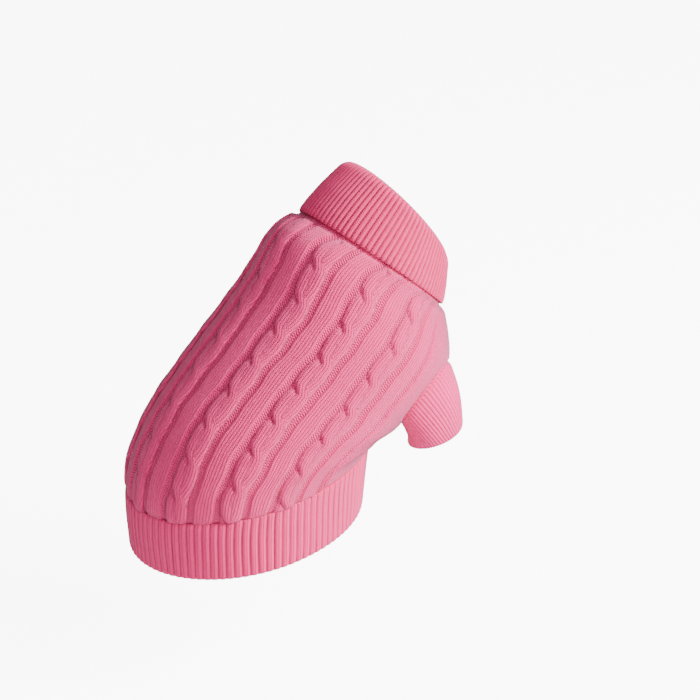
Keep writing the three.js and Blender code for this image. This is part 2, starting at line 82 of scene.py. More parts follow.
def smoothTable(knots, values, at):
    # a cubic in each stretch between two knots, whose end slopes are weighed from both neighbours
    knots, values = np.asarray(knots, float), np.asarray(values, float)
    steps = np.diff(knots)
    rises = np.diff(values) / steps
    slopes = np.empty_like(values)
    slopes[0], slopes[-1] = rises[0], rises[-1]
    slopes[1:-1] = (rises[:-1] * steps[1:] + rises[1:] * steps[:-1]) / (steps[:-1] + steps[1:])
    i = np.clip(np.searchsorted(knots, at, side="right") - 1, 0, len(steps) - 1)
    t = (at - knots[i]) / steps[i]
    return (
        values[i] * (1 + 2 * t) * (1 - t) ** 2
        + steps[i] * slopes[i] * t * (1 - t) ** 2
        + values[i + 1] * t * t * (3 - 2 * t)
        + steps[i] * slopes[i + 1] * t * t * (t - 1)
    )


def smoothStep(x, low, high):
    # 0 below low, 1 above high, and a soft S between them
    t = np.clip((x - low) / (high - low), 0, 1)
    return t * t * (3 - 2 * t)


def collarRing(height):
    # a straight blend of the lower edge's ring and the fold's ring
    edge, fold = collarForm["edge"], collarForm["fold"]
    return {key: edge[key] + (fold[key] - edge[key]) * height for key in edge}


def neckSeamValue(key):
    # the torso ends at the neck seam, just inside the turned-down layer
    inset = collarForm["layer"] + collarForm["slit"] - 1.8
    ring = collarRing(collarForm["seamHeight"])
    return ring[key] - (inset if key in ("back", "belly", "half") else 0)


hemShare = torsoForm["hemShare"]
torsoKnots = torsoForm["share"] + [torsoForm["neckSeamShare"]]
torsoValues = {key: torsoForm[key] + [neckSeamValue(key)] for key in collarForm["edge"]}


def sectionAt(share):
    return {key: smoothTable(torsoKnots, values, share) for key, values in torsoValues.items()}


def ringPoint(ring, angle, out=0.0):
    # an oval: its reach times the cosine towards the spine, its half width times the sine to the right
    up = (np.where(np.cos(angle) > 0, ring["back"], ring["belly"]) + out) * np.cos(angle)
    tilt = np.radians(ring["tilt"])
    across = -(ring["half"] + out) * np.sin(angle)
    x = ring["x"] - np.sin(tilt) * up
    z = ring["z"] + np.cos(tilt) * up
    return np.stack(np.broadcast_arrays(x, across, z), axis=-1)


ringAngles = np.linspace(0, np.pi, 181)


def aroundTable(share):
    # lengths from the spine round half of each section
    points = ringPoint(sectionAt(share[:, None]), ringAngles[None, :])
    steps = np.linalg.norm(np.diff(points, axis=1), axis=-1)
    return np.concatenate([np.zeros((len(share), 1)), np.cumsum(steps, axis=1)], axis=1)


def angleAt(share, around):
    # the angle whose length from the spine is the given one, read between two of the table's angles
    table = aroundTable(share)
    distance = np.minimum(np.abs(around), table[:, -1:])
    place = np.clip((table[:, None, :] < distance[:, :, None]).sum(-1) - 1, 0, len(ringAngles) - 2)
    low = np.take_along_axis(table, place, 1)
    high = np.take_along_axis(table, place + 1, 1)
    return np.sign(around) * (place + (distance - low) / (high - low)) * ringAngles[1]


def torsoNormal(share, angle):
    # square to a short step towards the neck and a short step round the section
    column = share[:, None]
    alongShare = ringPoint(sectionAt(column + 0.004), angle) - ringPoint(sectionAt(column - 0.004), angle)
    section = sectionAt(column)
    alongAngle = ringPoint(section, angle + 0.01) - ringPoint(section, angle - 0.01)
    normal = np.cross(alongAngle, alongShare)
    return normal / np.linalg.norm(normal, axis=-1, keepdims=True)


def foldDepth(share, around):
    # each trough is a bell in both directions
    depth = np.zeros(np.broadcast(share, around).shape)
    for fold in folds:
        along = (share - fold["share"]) * armhole["mmPerShare"] / fold["along"]
        across = (around - fold["around"]) / fold["across"]
        depth += fold["depth"] * np.exp(-(along**2) - across**2)
    return depth


def torsoPoint(share, around, out):
    # a point of the section, moved out along the surface's normal; share has one value for each row
    angle = angleAt(share, around)
    column = share[:, None]
    above = (column - torsoForm["hemShare"]) / 0.12
    hang = torsoForm["blouse"] * above * np.exp(1 - above) - foldDepth(column, around)
    shift = np.where(above > 0, hang, 0) + out
    return ringPoint(sectionAt(column), angle) + torsoNormal(share, angle) * shift[..., None]


# places that the panels and the sleeves share


def armholeEdge(angle):
    # an ellipse in lengths on the cloth, its long axis turned
    turn = np.radians(armhole["turn"])
    long, short = armhole["long"] * np.cos(angle), armhole["short"] * np.sin(angle)
    share = armhole["share"] + (long * np.cos(turn) + short * np.sin(turn)) / armhole["mmPerShare"]
    return share, armhole["around"] - long * np.sin(turn) + short * np.cos(turn)


armholeTurn = np.radians(armhole["turn"])
neckwardAngle = np.arctan2(armhole["short"] * np.sin(armholeTurn), armhole["long"] * np.cos(armholeTurn))
armholeTop = float(armholeEdge(neckwardAngle)[0])
armholeBottom = float(armholeEdge(neckwardAngle + np.pi)[0])


def panelEdge(share, onBelly):
    # the side seam, and along the armhole the ellipse's edge on the panel's side
    middle = (armholeTop + armholeBottom) / 2
    swing = np.arccos(np.clip((share - middle) * 2 / (armholeTop - armholeBottom), -1, 1))
    crossing = armholeEdge(neckwardAngle + (swing if onBelly else -swing))[1]
    seam = smoothTable(sideSeam["share"], sideSeam["around"], share)
    return np.where((share > armholeBottom) & (share < armholeTop), crossing, seam)


def spineShares(step):
    # shares of rows that lie a step apart along the spine, with closer rows at the armhole's two ends
    fine = np.linspace(torsoForm["hemShare"], torsoForm["neckSeamShare"], 600)
    points = ringPoint(sectionAt(fine), np.zeros(1))
    lengths = np.concatenate([[0], np.cumsum(np.linalg.norm(np.diff(points, axis=0), axis=-1))])
    even = np.interp(np.linspace(0, lengths[-1], int(round(lengths[-1] / step)) + 1), lengths, fine)
    near = np.array([0, 0.0006, 0.0022])
    extra = np.concatenate([armholeBottom + near, armholeTop - near])
    kept = even[(np.abs(even[:, None] - extra[None, :]) > 0.0012).all(1)]
    return np.sort(np.concatenate([kept, extra]))


def downTable():
    # length down the cloth from the collar's edge, on lines of equal distance from the spine
    shares = np.linspace(torsoForm["neckSeamShare"], torsoForm["hemShare"], 120)
    arounds = np.linspace(0, 160, 81)
    grid = np.broadcast_to(arounds, (len(shares), len(arounds)))
    points = ringPoint(sectionAt(shares[:, None]), angleAt(shares, grid))
    steps = np.linalg.norm(np.diff(points, axis=0), axis=-1)
    lengths = np.concatenate([np.zeros((1, len(arounds))), np.cumsum(steps, axis=0)])
    atCollar = np.array([np.interp(1, shares[::-1], column[::-1]) for column in lengths.T])
    return shares, arounds, lengths - atCollar


downShares, downArounds, downLengths = downTable()


def downAt(share, around):
    # read between the table's four nearest values
    row = np.interp(share, downShares[::-1], np.arange(len(downShares))[::-1]) + 0 * around
    column = np.interp(np.abs(around), downArounds, np.arange(len(downArounds))) + 0 * share
    i = np.minimum(row.astype(int), len(downShares) - 2)
    j = np.minimum(column.astype(int), len(downArounds) - 2)
    p, q = row - i, column - j
    near = downLengths[i, j] * (1 - p) + downLengths[i + 1, j] * p
    far = downLengths[i, j + 1] * (1 - p) + downLengths[i + 1, j + 1] * p
    return near * (1 - q) + far * q


# meshes


def gridQuads(rows, columns):
    # corner numbers of every cell in a grid of rows by columns points
    i, j = np.meshgrid(np.arange(rows - 1), np.arange(columns - 1), indexing="ij")
    first = (i * columns + j).ravel()
    return np.stack([first, first + 1, first + columns + 1, first + columns], axis=1)


def zipRows(rowA, placesA, rowB, placesB):
    # triangles between two rows: each stretch of one row meets the point of the other that comes before it
    b = np.searchsorted(placesB[1:], placesA[1:], side="left")
    a = np.searchsorted(placesA[1:], placesB[1:], side="right")
    first = np.stack([rowA[:-1], rowB[b], rowA[1:]], axis=1)
    second = np.stack([rowA[a], rowB[:-1], rowB[1:]], axis=1)
    return np.concatenate([first, second])


def gridRim(rows, columns, start):
    # the edge of a grid as one closed row of point numbers, with places from 0 to 4 round its sides
    numbers = start + np.arange(rows * columns).reshape(rows, columns)
    across, along = np.linspace(0, 1, columns), np.linspace(0, 1, rows)
    rim = np.concatenate([numbers[0], numbers[1:, -1], numbers[-1, ::-1][1:], numbers[::-1, 0][1:]])
    places = np.concatenate([across, 1 + along[1:], 2 + across[1:], 3 + along[1:]])
    return rim, places


def meshVolume(points, quads, tris):
    # a sixth of each triangle's triple product, summed
    whole = np.concatenate([quads[:, :3], quads[:, [0, 2, 3]], tris])
    a, b, c = (points[whole[:, k]] for k in range(3))
    return np.einsum("ij,ij->i", a, np.cross(b, c)).sum() / 6


def buildPiece(name, points, quads, tris, knit, knitQuads, knitTris, masks, material):
    # puts whole arrays into a mesh: places in metres, faces, the knit's UV map and its masks
    if meshVolume(points, quads, tris) < 0:
        quads, tris = quads[:, ::-1], tris[:, ::-1]
        knitQuads, knitTris = knitQuads[:, ::-1], knitTris[:, ::-1]
    corners = np.concatenate([quads.ravel(), tris.ravel()]).astype(np.int32)
    starts = np.concatenate([np.arange(len(quads)) * 4, quads.size + np.arange(len(tris)) * 3])
    mesh = bpy.data.meshes.new(name)
    mesh.vertices.add(len(points))
    mesh.vertices.foreach_set("co", (points / 1000).astype(np.float32).ravel())
    mesh.loops.add(len(corners))
    mesh.loops.foreach_set("vertex_index", corners)
    mesh.polygons.add(len(starts))
    mesh.polygons.foreach_set("loop_start", starts.astype(np.int32))
    mesh.update(calc_edges=True)
    mesh.polygons.foreach_set("use_smooth", np.ones(len(starts), bool))
    layer = mesh.uv_layers.new(name="knit")
    cornerKnit = knit[np.concatenate([knitQuads.ravel(), knitTris.ravel()])]
    layer.data.foreach_set("uv", cornerKnit.astype(np.float32).ravel())
    for key, values in masks.items():
        mesh.attributes.new(key, "FLOAT", "POINT").data.foreach_set("value", values.astype(np.float32))
    mesh.validate()
    mesh.materials.append(material)
    piece = bpy.data.objects.new(name, mesh)
    bpy.context.scene.collection.objects.link(piece)
    print(f"{name}: {len(quads) * 2 + len(tris)} triangles")
    return piece


def panelPiece(name, outside, inside, material):
    # an outer grid over a coarser inner grid, zipped together round their rims
    rows, columns = outside["points"].shape[:2]
    innerRows, innerColumns = inside["points"].shape[:2]
    start = rows * columns
    points = np.concatenate([outside["points"].reshape(-1, 3), inside["points"].reshape(-1, 3)])
    quads = np.concatenate([gridQuads(rows, columns), gridQuads(innerRows, innerColumns)[:, ::-1] + start])
    tris = zipRows(*gridRim(rows, columns, 0), *gridRim(innerRows, innerColumns, start))
    knit = np.concatenate([outside["knit"].reshape(-1, 2), inside["knit"].reshape(-1, 2)])
    masks = {
        key: np.concatenate([outside[key].ravel(), inside[key].ravel()]) for key in ("purl", "creaseShade")
    }
    return buildPiece(name, points, quads, tris, knit, quads, tris, masks, material)


def ringPiece(name, points, knit, masks, material):
    # a wall shaped like a ring, closed both ways; its UV grid has one more row and column to close on
    rows, columns = points.shape[:2]
    knitQuads = gridQuads(rows + 1, columns + 1)
    row, column = np.divmod(knitQuads, columns + 1)
    quads = (row % rows) * columns + column % columns
    none = np.zeros((0, 3), int)
    flatMasks = {key: values.ravel() for key, values in masks.items()}
    places, knit = points.reshape(-1, 3), knit.reshape(-1, 2)
    return buildPiece(name, places, quads, none, knit, knitQuads, none, flatMasks, material)


# yarn and knit

yarn = {
    "light": (1.0, 0.040, 0.228),
    # painted shade colour for the gaps of the stitches, the purl stitches and the creases
    "creviceShade": (0.44, 0.016, 0.085),
    # painted shade: a darker, greyer pink mixed in where the cloth is seen edge-on, by the share below
    "edgeOnShade": (0.31, 0.075, 0.145),  # duller, seen edge-on
    "edgeOnShadeShare": 0.85,
    "roughness": 0.92,
    "sheen": 0.26,
    "stitchDepth": 0.0006,
}


def addNode(tree, kind, **settings):
    node = tree.nodes.new(kind)
    for key, value in settings.items():
        setattr(node, key, value)
    return node


def mathNode(tree, operation, first, second=None, third=None, clamp=False):
    # one sum; a number is set on the socket and a socket is linked
    node = addNode(tree, "ShaderNodeMath", operation=operation, use_clamp=clamp)
    for socket, value in zip(node.inputs, (first, second, third)):
        if value is None:
            continue
        if isinstance(value, (int, float)):
            socket.default_value = value
        else:
            tree.links.new(value, socket)
    return node.outputs[0]


def knitStitchGroup():
    # plain stitches are two slanted legs to a wale; reversed stitches are short bars across it
    group = bpy.data.node_groups.new("knitStitch", "ShaderNodeTree")
    group.interface.new_socket("Knit", in_out="INPUT", socket_type="NodeSocketVector")
    group.interface.new_socket("Purl", in_out="INPUT", socket_type="NodeSocketFloat")
    group.interface.new_socket("Height", in_out="OUTPUT", socket_type="NodeSocketFloat")
    enter = addNode(group, "NodeGroupInput")
    leave = addNode(group, "NodeGroupOutput")
    split = addNode(group, "ShaderNodeSeparateXYZ")
    group.links.new(enter.outputs["Knit"], split.inputs[0])
    u, v = split.outputs[0], split.outputs[1]

    def sums(operation, *values, **settings):
        return mathNode(group, operation, *values, **settings)

    fromWale = sums("ABSOLUTE", sums("SUBTRACT", u, sums("ROUND", u)))
    slanted = sums("MULTIPLY_ADD", fromWale, -1.3, v)
    loop = sums("ABSOLUTE", sums("SINE", sums("MULTIPLY", slanted, np.pi)))
    border = sums("POWER", sums("MULTIPLY", fromWale, 2.0), 2.5)
    middle = sums("SUBTRACT", 1.0, sums("MULTIPLY", fromWale, 8.0), clamp=True)
    dots = sums("MULTIPLY_ADD", loop, -0.45, 1.15)
    softBorder = sums("SUBTRACT", 1.0, sums("MULTIPLY", border, dots))
    leg = sums("MULTIPLY_ADD", middle, -0.2, softBorder)
    plain = sums("MULTIPLY", leg, sums("MULTIPLY_ADD", loop, 0.45, 0.55))
    wave = sums("MULTIPLY", sums("COSINE", sums("MULTIPLY", u, 2 * np.pi)), 0.16)
    slope = sums("MULTIPLY_ADD", u, -0.8, wave)
    bars = sums("ABSOLUTE", sums("SINE", sums("MULTIPLY", sums("MULTIPLY_ADD", v, 0.8, slope), np.pi)))
    turned = sums("POWER", bars, 1.3)
    mixed = addNode(group, "ShaderNodeMix", data_type="FLOAT")
    group.links.new(enter.outputs["Purl"], mixed.inputs[0])
    group.links.new(plain, mixed.inputs[2])
    group.links.new(turned, mixed.inputs[3])
    group.links.new(mixed.outputs[0], leave.inputs["Height"])
    return group


def yarnShadeGroup():
    # mottling of the dye and fine fuzz, from 0 dark to 1 light, on Object coordinates
    group = bpy.data.node_groups.new("yarnShade", "ShaderNodeTree")
    group.interface.new_socket("Place", in_out="INPUT", socket_type="NodeSocketVector")
    group.interface.new_socket("Mottle", in_out="OUTPUT", socket_type="NodeSocketFloat")
    group.interface.new_socket("Fuzz", in_out="OUTPUT", socket_type="NodeSocketFloat")
    enter = addNode(group, "NodeGroupInput")
    leave = addNode(group, "NodeGroupOutput")
    for socket, scale, detail in (("Mottle", 90.0, 3.0), ("Fuzz", 1300.0, 2.0)):
        noise = addNode(group, "ShaderNodeTexNoise")
        noise.inputs["Scale"].default_value = scale
        noise.inputs["Detail"].default_value = detail
        group.links.new(enter.outputs["Place"], noise.inputs["Vector"])
        group.links.new(noise.outputs["Fac"], leave.inputs[socket])
    return group


knitStitch = knitStitchGroup()
yarnShade = yarnShadeGroup()


def mixColour(tree, share, first, second):
    node = addNode(tree, "ShaderNodeMix", data_type="RGBA")
    for socket, value in ((node.inputs[0], share), (node.inputs[6], first), (node.inputs[7], second)):
        if isinstance(value, tuple):
            socket.default_value = (*value, 1)
        elif isinstance(value, float):
            socket.default_value = value
        else:
            tree.links.new(value, socket)
    return node.outputs[2]


def knitMaterial(name, light, creviceShade, depth):
    # yarn colour by height in the stitch, with painted shade darker in the stitch's gaps, in purl
    # stitches and in the creases, and darker and greyer where the cloth is seen edge-on; the stitch is also a
    # bump
    material = bpy.data.materials.new(name)
    material.use_nodes = True
    tree = material.node_tree
    shader = tree.nodes["Principled BSDF"]
    shader.inputs["Roughness"].default_value = yarn["roughness"]
    shader.inputs["Sheen Weight"].default_value = yarn["sheen"]
    shader.inputs["Sheen Roughness"].default_value = 0.45
    shader.inputs["Sheen Tint"].default_value = (1.0, 0.6, 0.76, 1)
    shader.inputs["Specular IOR Level"].default_value = 0.15
    knit = addNode(tree, "ShaderNodeUVMap", uv_map="knit")
    purl = addNode(tree, "ShaderNodeAttribute", attribute_name="purl")
    creaseShade = addNode(tree, "ShaderNodeAttribute", attribute_name="creaseShade")
    place = addNode(tree, "ShaderNodeTexCoord")
    stitch = addNode(tree, "ShaderNodeGroup", node_tree=knitStitch)
    shade = addNode(tree, "ShaderNodeGroup", node_tree=yarnShade)
    tree.links.new(knit.outputs[0], stitch.inputs["Knit"])
    tree.links.new(purl.outputs["Fac"], stitch.inputs["Purl"])
    tree.links.new(place.outputs["Object"], shade.inputs["Place"])
    mottled = mathNode(tree, "MULTIPLY_ADD", shade.outputs["Mottle"], 0.22, -0.11)
    fuzzed = mathNode(tree, "MULTIPLY_ADD", shade.outputs["Fuzz"], 0.5, -0.25)
    # painted shade: the colour goes darker towards the gaps between the stitch's yarn, by its height
    stitchGapShade = mathNode(tree, "MULTIPLY_ADD", stitch.outputs["Height"], 0.74, 0.26)
    lit = mathNode(tree, "ADD", mathNode(tree, "ADD", stitchGapShade, mottled), fuzzed, clamp=True)
    # painted shade: purl stitches a little darker, as they lie lower
    sunk = mathNode(tree, "MULTIPLY_ADD", purl.outputs["Fac"], -0.1, lit)
    # painted shade: darker along the cable hooks, the side seams, the rib valleys and the armhole seams
    final = mathNode(tree, "MULTIPLY_ADD", creaseShade.outputs["Fac"], -0.5, sunk, clamp=True)
    # painted shade: the colour is mixed towards a darker, greyer pink where the cloth turns edge-on to the
    # camera
    facing = addNode(tree, "ShaderNodeLayerWeight")
    facing.inputs["Blend"].default_value = 0.5
    grazing = mathNode(tree, "MULTIPLY_ADD", facing.outputs["Facing"], 1.5, -0.55, clamp=True)
    edgeOnShadeMix = mathNode(tree, "MULTIPLY", grazing, yarn["edgeOnShadeShare"])
    shadedStitchColour = mixColour(tree, final, creviceShade, light)
    tree.links.new(mixColour(tree, edgeOnShadeMix, shadedStitchColour, yarn["edgeOnShade"]), shader.inputs["Base Color"])
    height = mathNode(tree, "MULTIPLY_ADD", shade.outputs["Fuzz"], 0.35, stitch.outputs["Height"])
    bump = addNode(tree, "ShaderNodeBump")
    bump.inputs["Strength"].default_value = 1.0
    bump.inputs["Distance"].default_value = depth
    tree.links.new(height, bump.inputs["Height"])
    tree.links.new(bump.outputs[0], shader.inputs["Normal"])
    return material


cableKnit = knitMaterial("cableKnit", yarn["light"], yarn["creviceShade"], yarn["stitchDepth"])
plainKnit = knitMaterial("plainKnit", yarn["light"], yarn["creviceShade"], yarn["stitchDepth"])
ribKnit = knitMaterial("ribKnit", (0.95, 0.034, 0.204), yarn["creviceShade"], 0.0003)
# a darker copy of the rib yarn: painted shade over the collar
shadedCollarRibKnit = knitMaterial("shadedCollarRibKnit", (0.84, 0.030, 0.168), yarn["creviceShade"], 0.0003)
sleeveKnit = knitMaterial("sleeveKnit", (1.0, 0.042, 0.242), yarn["creviceShade"], 0.0003)
print("materials made")

# back: seven rope cables with flat ribs and reversed grooves between them

backPanel = {
    "cables": 7,
    "pitch": 30.6,
    "cableWidth": 13.4,
    "crossing": 20.3,
    "firstCrossing": 22,
    "sway": 2.9,
    "strandHalf": 3.6,
    "dome": 1.65,
    "swell": 0.35,  # how far the upper strand stands out at a crossing
    "hookDepth": 1.15,
    "waleBend": 0.6,  # how closely the stitch columns follow the strands
    "rightEven": 0.85,  # 1 makes the right edge straight
    "pinch": 0.7,  # how far the cloth beside a cable is drawn in at each crossing
    "grooveWidth": 3.7,
    "groove": -1.4,
    "ground": -1.2,
    "sunk": -1.8,  # under the turned-down collar
    "rib": -0.4,
    "band": -0.5,
    "inside": -3.4,
    "wale": 1.65,
    "row": 1.15,
    "columnStep": 0.55,
    "rowStep": 1.0,
    "bandColumns": 20,
}
seamTuck = {"depth": 1.3, "reach": 1.5}
insideStep = 4  # an inner grid has every fourth row of the outer one


def underCollar(share):
    return smoothStep(share, 0.97, 0.996)


def strandPlaces(down):
    # each strand crosses over quickly from left to right, then comes back slowly under the other one
    form = backPanel
    step = (down - form["firstCrossing"]) / form["crossing"]
    middles = []
    for half in (0, 1):
        turn = np.mod(step + half + 0.5, 2)
        middles.append(form["sway"] * (2 * (smoothStep(turn, 0.34, 0.72) - smoothStep(turn, 1.03, 1.87)) - 1))
    firstOver = np.mod(step + 0.5, 2) < 1
    over, under = np.where(firstOver, middles[0], middles[1]), np.where(firstOver, middles[1], middles[0])
    return over, under, np.mod(step + 0.5, 1) - 0.5


def cableRelief(across, down):
    # a flat-topped band whose edges follow the outer strand on each side, so its left edge is notched;
    # from each notch a short hook runs to the middle, and the lower strand is tucked in under it
    form = backPanel
    over, under, step = strandPlaces(down)
    half = form["strandHalf"]
    left = np.minimum(over, under) - half
    wavy = (1 - form["rightEven"]) * (np.maximum(over, under) + half)
    right = wavy + form["rightEven"] * form["cableWidth"] / 2
    place = np.abs(2 * across - left - right) / (right - left)
    height = form["dome"] * np.clip(1 - place**3.4, 0, 1) ** 0.55
    beside = across - over + half
    hook = smoothStep(step, -0.09, 0.0) * (1 - smoothStep(step, 0.1, 0.26))
    tucked = np.where(beside < 0, np.exp(beside / 2.2), np.exp(-((beside / 0.5) ** 2)))
    ridge = np.exp(-(((across - over) / 3.2) ** 2)) * np.cos(np.pi * step)
    covered = height > 0
    height = height - form["hookDepth"] * hook * tucked + form["swell"] * ridge
    onOver = (beside >= 0) & (across < over + half)
    wale = (across - form["waleBend"] * np.where(onOver, over, under)) / form["wale"] + 0.5
    # painted shade: a dark line along the hook, on the edge where the lower strand tucks under
    creaseShade = hook * np.exp(-(((beside + 0.3) / 0.5) ** 2)) * covered
    return np.where(covered, height, 0), wale, creaseShade, covered


def cableLean(around, down):
    # hand-made unevenness: the columns wander a little to each side
    return (
        0.55 * np.sin(down / 19 + around / 21)
        + 0.35 * np.sin(down / 8.3 - around / 13 + 1)
        + 0.2 * np.sin(down / 4.1 + around / 9 + 2)
    )


def backRelief(share, around, down):
    # the nearest cable's relief, then groove, flat rib, groove; beyond the last rib a plain band.
    # At each crossing what lies beside the cable is drawn in towards it
    form = backPanel
    reach = form["pitch"] * (form["cables"] - 1) / 2
    around = around + cableLean(around, down)
    down = down + 0.8 * np.sin(around / 17 + 0.7) + 0.5 * np.sin(around / 6.1 + down / 31)
    nearest = np.clip(np.round(around / form["pitch"]) * form["pitch"], -reach, reach)
    across = around - nearest
    plainEdge = form["pitch"] - form["cableWidth"]
    narrow = np.sin(np.pi * ((down - form["firstCrossing"]) / form["crossing"] + 0.5)) ** 2
    beside = smoothStep(np.abs(across), 2, 7) * (1 - smoothStep(np.abs(across), 9, form["pitch"] / 2))
    outwards = np.abs(across) + form["pinch"] * (narrow - 0.35) * beside
    fromCable = outwards - form["cableWidth"] / 2
    toGroove = np.minimum(fromCable, plainEdge - fromCable) / form["grooveWidth"]
    ribRise = smoothStep(toGroove, 0.7, 1.15)
    height = form["groove"] + (form["rib"] - form["groove"]) * ribRise
    purl = 1 - smoothStep(toGroove, 0.85, 1.0)
    inCable, inBand = fromCable < 0, fromCable > plainEdge
    cableHeight, cableWale, creaseShade, covered = cableRelief(np.sign(across) * outwards, down)
    groundRise = form["groove"] - form["ground"]
    ground = form["ground"] + groundRise * smoothStep(fromCable, -1.5, 0)
    height = np.where(inBand, form["band"], np.where(inCable, ground + cableHeight, height))
    purl = np.where(inBand, 0, np.where(inCable, 1 - covered, purl))
    ribWale = (np.sign(across) * (outwards - form["pitch"] / 2)) / form["wale"] + 0.5
    wale = np.where(inCable, cableWale, ribWale)
    creaseShade = np.where(inCable, creaseShade, 0)
    under = underCollar(share)
    return height + (form["sunk"] - height) * under, wale, purl, creaseShade * (1 - under)


def tuckAt(distance):
    # the cloth turns in along a seam: deepest at the seam and fading with the distance from it
    return seamTuck["depth"] * np.exp(-((distance / seamTuck["reach"]) ** 2))


def makeBackPanel():
    form = backPanel
    shares = spineShares(form["rowStep"])
    column = shares[:, None]
    edge = panelEdge(shares, False)[:, None]
    lastCable = form["pitch"] * (form["cables"] - 1) / 2
    bandStart = lastCable + form["cableWidth"] / 2 + form["pitch"] - form["cableWidth"]
    middle = np.linspace(-bandStart, bandStart, int(round(2 * bandStart / form["columnStep"])) + 1)
    outward = 1 - (1 - np.linspace(0, 1, form["bandColumns"] + 1)[1:]) ** 1.5
    band = bandStart + (edge - bandStart) * outward
    middleRows = np.broadcast_to(middle, (len(shares), len(middle)))
    around = np.concatenate([-band[:, ::-1], middleRows, band], axis=1)
    down = downAt(column, around)
    height, wale, purl, creaseShade = backRelief(column, around, down)
    fromHem = (column - hemShare) * armhole["mmPerShare"]
    fromSeam = edge - np.abs(around)
    height = height - tuckAt(fromSeam) - 0.35 * tuckAt(fromHem)
    purl = np.maximum(purl, 0.8 * np.exp(-(((fromHem - 0.9) / 1.3) ** 2)))
    # painted shade along the side seams
    creaseShade = np.maximum(creaseShade, 0.7 * np.exp(-((fromSeam / 0.7) ** 2)))
    outside = {
        "points": torsoPoint(shares, around, height),
        "knit": np.stack([wale, down / form["row"]], axis=-1),
        "purl": purl,
        "creaseShade": creaseShade,
    }
    innerShares = np.union1d(shares[::insideStep], shares[-1:])
    innerEdge = panelEdge(innerShares, False)[:, None]
    innerAround = innerEdge * np.linspace(-1, 1, 61)[None, :]
    innerDown = downAt(innerShares[:, None], innerAround)
    inside = {
        "points": torsoPoint(innerShares, innerAround, np.full(innerAround.shape, float(form["inside"]))),
        "knit": np.stack([innerAround / form["wale"], innerDown / form["row"]], axis=-1),
        "purl": np.ones(innerAround.shape),
        "creaseShade": np.zeros(innerAround.shape),
    }
    return panelPiece("backPanel", outside, inside, cableKnit)


backPiece = makeBackPanel()
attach(backPiece, "root")
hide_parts("back_panel")

# belly: plain knit from side seam to side seam

bellyPanel = {"level": -0.5, "inside": -2.8, "columns": 120, "rowStep": 1.4, "wale": 1.65, "row": 1.0}


def bellyGrid(shares, columns):
    # distances measured from the belly line, turned into distances from the spine
    edge = panelEdge(shares, True)[:, None]
    girth = aroundTable(shares)[:, -1:]
    fromBelly = (girth - edge) * np.linspace(-1, 1, columns + 1)[None, :]
    side = np.where(fromBelly < 0, 1, -1)
    return fromBelly, side * (girth - np.abs(fromBelly)), girth - edge


def makeBellyPanel():
    form = bellyPanel
    shares = spineShares(form["rowStep"])
    column = shares[:, None]
    fromBelly, around, reach = bellyGrid(shares, form["columns"])
    level = form["level"] + (backPanel["sunk"] - form["level"]) * underCollar(column)
    fromHem = (column - hemShare) * armhole["mmPerShare"]
    height = level - tuckAt(reach - np.abs(fromBelly)) - tuckAt(fromHem)
    points = torsoPoint(shares, around, height)
    steps = np.linalg.norm(np.diff(points, axis=0), axis=-1)
    down = np.concatenate([np.zeros((1, points.shape[1])), np.cumsum(steps, axis=0)])
    outside = {
        "points": points,
        "knit": np.stack([fromBelly / form["wale"], -down / form["row"]], axis=-1),
        "purl": np.zeros(around.shape),
        "creaseShade": np.zeros(around.shape),
    }
    innerShares = np.union1d(shares[::insideStep], shares[-1:])
    innerFrom, innerAround, _ = bellyGrid(innerShares, 40)
    innerLevel = level[np.searchsorted(shares, innerShares)] - form["level"] + form["inside"]
    inside = {
        "points": torsoPoint(innerShares, innerAround, innerLevel + 0 * innerAround),
        "knit": np.stack([innerFrom / form["wale"], innerShares[:, None] * 140 + 0 * innerFrom], axis=-1),
        "purl": np.ones(innerAround.shape),
        "creaseShade": np.zeros(innerAround.shape),
    }
    return panelPiece("bellyPanel", outside, inside, plainKnit)


bellyPiece = makeBellyPanel()
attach(bellyPiece, "root")
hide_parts("belly_panel")

# ribbed tubes: the hem band, the collar and the sleeves


def ribShape(x):
    # a wide, flattish crest at whole numbers and a narrow valley halfway between
    return np.abs(np.cos(np.pi * x)) ** 0.5 - 1


def ribValley(x, rows):
    # 1 in the valley between two ribs and 0 on their crests
    return smoothStep(-ribShape(x), 0.2, 0.8) * np.ones((rows, 1))


def ringKnit(wales, place, height, row):
    # a ring's UV grid: stitch columns round it, rows along the wall's cut, closed both ways
    rows = np.append(place, place[0]) * height / row
    return np.stack(np.broadcast_arrays(wales[None, :], rows[:, None]), axis=-1)


def profileRows(stations, height, count):
    # stations are (share of the height, level, rib share) round the wall's cut, resampled evenly by length
    table = np.array(stations, float)
    closed = np.vstack([table, table[:1]])
    steps = np.hypot(np.diff(closed[:, 0]) * height, np.diff(closed[:, 1]))
    lengths = np.concatenate([[0], np.cumsum(steps)])
    at = np.linspace(0, lengths[-1], count + 1)[:-1]
    return [np.interp(at, lengths, closed[:, k]) for k in range(3)]


hemBand = {
    "ribs": 91,
    "columnsPerRib": 10,
    "ribDepth": 1.15,
    "height": 34,
    "rows": 84,
    "row": 1.0,
    "stations": [
        # share of the band's height from its edge, level, depth of the ribs
        (0.0, -1.6, 0.5),
        (0.012, -0.7, 1.0),
        (0.04, -0.15, 1.0),
        (0.5, 0.0, 1.0),
        (0.9, 0.0, 1.0),
        (0.97, -0.1, 0.9),
        (1.006, -0.7, 0.5),
        (1.0, -3.2, 0.0),
        (0.9, -3.2, -0.4),
        (0.5, -3.2, -0.5),
        (0.05, -3.2, -0.5),
        (0.008, -2.7, -0.2),
    ],
}


